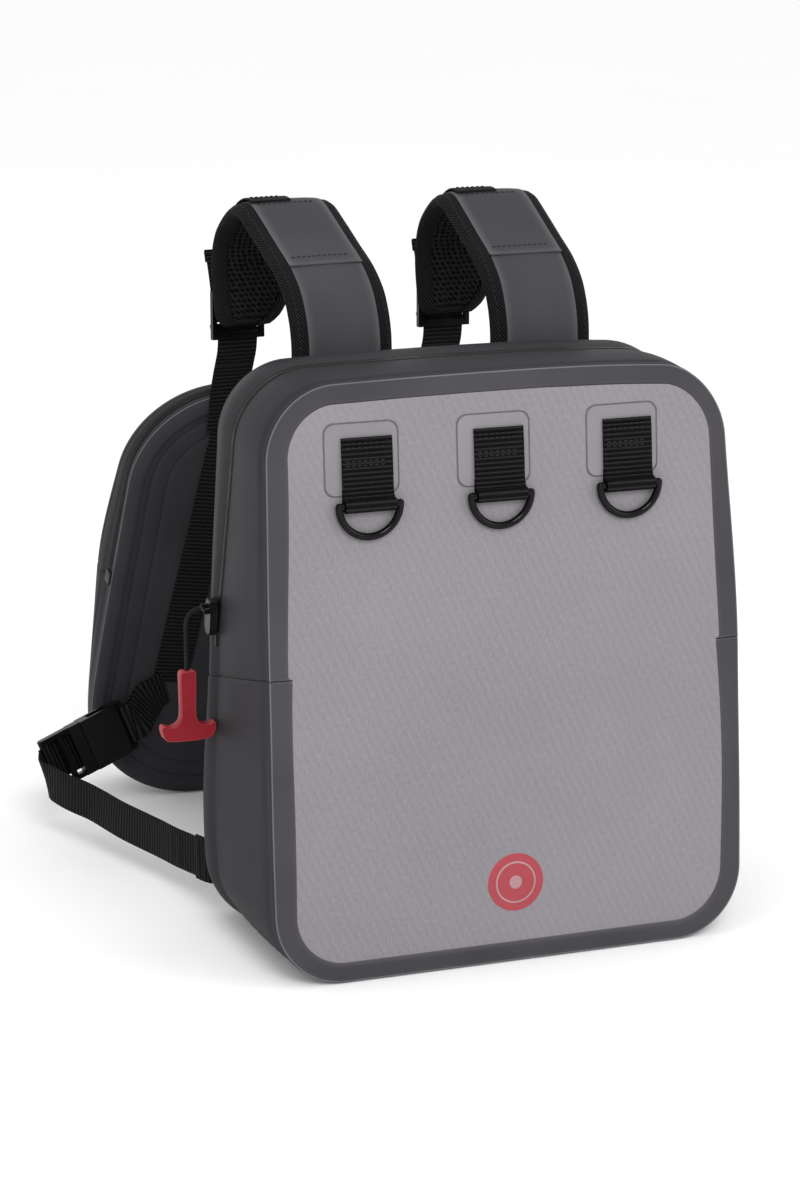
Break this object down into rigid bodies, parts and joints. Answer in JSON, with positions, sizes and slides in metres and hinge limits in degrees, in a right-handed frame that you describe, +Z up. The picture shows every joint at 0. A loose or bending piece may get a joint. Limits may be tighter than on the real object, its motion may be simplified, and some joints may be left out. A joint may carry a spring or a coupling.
{
  "type": "tackle backpack",
  "caption": "Welded tackle backpack with a matching chest pack, joined by padded shoulder straps and side-release straps, with waterproof zips and D-rings.",
  "frame": {"origin": "centre of the main pack's base, on the surface it stands on", "axes": "+Z up; the main pack's front face looks towards -Y; the chest pack stands on the +Y side"},
  "size_m": [0.3948, 0.4299, 0.4127],
  "materials": {
    "coated_fabric": "semi-matt welded TPU coated fabric",
    "woven_panel": "fine woven coated fabric with a soft sheen",
    "webbing": "ribbed polyester webbing",
    "padded_mesh": "foam under open air mesh with a twill binding",
    "foam": "closed-cell foam",
    "zip_tape": "satin coated zip tape and teeth",
    "black_metal": "gloss black",
    "black_plastic": "satin moulded acetal",
    "pull_cord": "braided cord",
    "red_rubber": "soft satin moulding",
    "red_print": "matt print"
  },
  "bodies": {
    "main_pack": {"main_tub": "coated_fabric", "main_back_shell": "coated_fabric", "main_lower_panel": "woven_panel", "main_stiffener": "foam", "main_zip_rear": "zip_tape", "main_zip_docks": "zip_tape", "strap_anchor_panel": "coated_fabric", "side_tab_left": "webbing", "side_tab_right": "webbing", "badge": "red_print", "side_webbing_left": "webbing", "side_webbing_right": "webbing"},
    "main_front": {"main_upper_shell": "coated_fabric", "main_upper_panel": "woven_panel", "main_zip_front": "zip_tape", "tab_patches": "coated_fabric", "tab_left": "webbing", "tab_centre": "webbing", "tab_right": "webbing"},
    "ring_left": {"d_ring_left": "black_metal"},
    "ring_centre": {"d_ring_centre": "black_metal"},
    "ring_right": {"d_ring_right": "black_metal"},
    "main_zip_slider": {"main_slider": "black_metal"},
    "main_pull": {"main_pull_cord": "pull_cord", "main_pull_handle": "red_rubber"},
    "shoulder_straps": {"strap_pad_left": "padded_mesh", "strap_pad_right": "padded_mesh", "strap_cover_left": "coated_fabric", "strap_cover_right": "coated_fabric", "strap_webbing_left": "webbing", "strap_webbing_right": "webbing"},
    "lock_left": {"ladder_lock_left": "black_plastic", "strap_tail_left": "webbing"},
    "lock_right": {"ladder_lock_right": "black_plastic", "strap_tail_right": "webbing"},
    "chest_pack": {"chest_tub": "coated_fabric", "chest_back_shell": "coated_fabric", "chest_lower_panel": "woven_panel", "chest_stiffener": "foam", "chest_zip_rear": "zip_tape", "chest_zip_docks": "zip_tape", "chest_strips": "webbing", "hanger_webbing_left": "webbing", "hanger_webbing_right": "webbing", "chest_tab_left": "webbing", "chest_tab_right": "webbing", "buckle_socket_left": "black_plastic", "buckle_socket_right": "black_plastic"},
    "chest_front": {"chest_upper_shell": "coated_fabric", "chest_upper_panel": "woven_panel", "chest_zip_front": "zip_tape"},
    "chest_zip_slider": {"chest_slider": "black_metal"},
    "chest_pull": {"chest_pull_cord": "pull_cord", "chest_pull_handle": "red_rubber"},
    "plug_left": {"buckle_plug_left": "black_plastic"},
    "plug_right": {"buckle_plug_right": "black_plastic"},
    "arm_upper_left": {"buckle_arm_upper_left": "black_plastic"},
    "arm_lower_left": {"buckle_arm_lower_left": "black_plastic"},
    "arm_upper_right": {"buckle_arm_upper_right": "black_plastic"},
    "arm_lower_right": {"buckle_arm_lower_right": "black_plastic"}
  },
  "joints": [
    {"name": "main_front_open", "type": "hinge", "parent": "main_pack", "child": "main_front", "pos_m": [0, -0.05974, 0.17615], "axis": [1, 0, 0], "range_deg": [0, 35]},
    {"name": "main_zip_slide", "type": "slide", "parent": "main_pack", "child": "main_zip_slider", "axis": [0, -0.1923, 0.9813], "range_m": [0, 0.09]},
    {"name": "main_pull_swing", "type": "hinge", "parent": "main_zip_slider", "child": "main_pull", "pos_m": [-0.153, 0.033, 0.197], "axis": [1, 0, 0], "range_deg": [-40, 40]},
    {"name": "d_ring_left_swing", "type": "hinge", "parent": "main_front", "child": "ring_left", "pos_m": [-0.083, -0.05772, 0.27178], "axis": [-1, 0, 0], "range_deg": [0, 140]},
    {"name": "d_ring_centre_swing", "type": "hinge", "parent": "main_front", "child": "ring_centre", "pos_m": [-0.005, -0.05772, 0.27178], "axis": [-1, 0, 0], "range_deg": [0, 140]},
    {"name": "d_ring_right_swing", "type": "hinge", "parent": "main_front", "child": "ring_right", "pos_m": [0.073, -0.05772, 0.27178], "axis": [-1, 0, 0], "range_deg": [0, 140]},
    {"name": "strap_harness_lift", "type": "hinge", "parent": "main_pack", "child": "shoulder_straps", "pos_m": [0, 0.056, 0.332], "axis": [1, 0, 0], "range_deg": [0, 12], "deforming": ["side_webbing_left", "side_webbing_right"]},
    {"name": "ladder_lock_left_tilt", "type": "hinge", "parent": "shoulder_straps", "child": "lock_left", "pos_m": [-0.07595, 0.19995, 0.35], "axis": [0.9976, 0.0698, 0], "range_deg": [0, 25]},
    {"name": "ladder_lock_right_tilt", "type": "hinge", "parent": "shoulder_straps", "child": "lock_right", "pos_m": [0.059, 0.199, 0.35], "axis": [1, 0, 0], "range_deg": [0, 25]},
    {"name": "chest_pack_swing", "type": "hinge", "parent": "shoulder_straps", "child": "chest_pack", "pos_m": [0, 0.199, 0.321], "axis": [1, 0, 0], "range_deg": [0, 15], "deforming": ["side_webbing_left", "side_webbing_right"]},
    {"name": "chest_front_open", "type": "hinge", "parent": "chest_pack", "child": "chest_front", "pos_m": [0, 0.29459, 0.17025], "axis": [-1, 0, 0], "range_deg": [0, 35]},
    {"name": "chest_zip_slide", "type": "slide", "parent": "chest_pack", "child": "chest_zip_slider", "axis": [-0.1058, -0.2741, 0.9559], "range_m": [0, 0.05]},
    {"name": "chest_pull_swing", "type": "hinge", "parent": "chest_zip_slider", "child": "chest_pull", "pos_m": [0.151, 0.257, 0.1915], "axis": [1, 0, 0], "range_deg": [-30, 30]},
    {"name": "side_buckle_left_release", "type": "slide", "parent": "chest_pack", "child": "plug_left", "axis": [-0.9281, -0.1804, -0.3256], "range_m": [0, 0.026], "deforming": ["side_webbing_left"]},
    {"name": "side_buckle_left_upper_arm", "type": "hinge", "parent": "plug_left", "child": "arm_upper_left", "pos_m": [-0.16523, 0.26068, 0.06328], "axis": [-0.1324, 0.9775, -0.1642], "range_deg": [0, 8], "stiffness_Nm_per_rad": 0.05},
    {"name": "side_buckle_left_lower_arm", "type": "hinge", "parent": "plug_left", "child": "arm_lower_left", "pos_m": [-0.15757, 0.25828, 0.04279], "axis": [0.1324, -0.9775, 0.1642], "range_deg": [0, 8], "stiffness_Nm_per_rad": 0.05},
    {"name": "side_buckle_right_release", "type": "slide", "parent": "chest_pack", "child": "plug_right", "axis": [0.9281, -0.1804, -0.3256], "range_m": [0, 0.026], "deforming": ["side_webbing_right"]},
    {"name": "side_buckle_right_upper_arm", "type": "hinge", "parent": "plug_right", "child": "arm_upper_right", "pos_m": [0.16523, 0.26068, 0.06328], "axis": [-0.1324, -0.9775, 0.1642], "range_deg": [0, 8], "stiffness_Nm_per_rad": 0.05},
    {"name": "side_buckle_right_lower_arm", "type": "hinge", "parent": "plug_right", "child": "arm_lower_right", "pos_m": [0.15757, 0.25828, 0.04279], "axis": [0.1324, 0.9775, -0.1642], "range_deg": [0, 8], "stiffness_Nm_per_rad": 0.05}
  ],
  "couplings": [
    {"joint": "side_buckle_left_lower_arm", "follows": "side_buckle_left_upper_arm", "ratio": 1},
    {"joint": "side_buckle_right_lower_arm", "follows": "side_buckle_right_upper_arm", "ratio": 1}
  ]
}
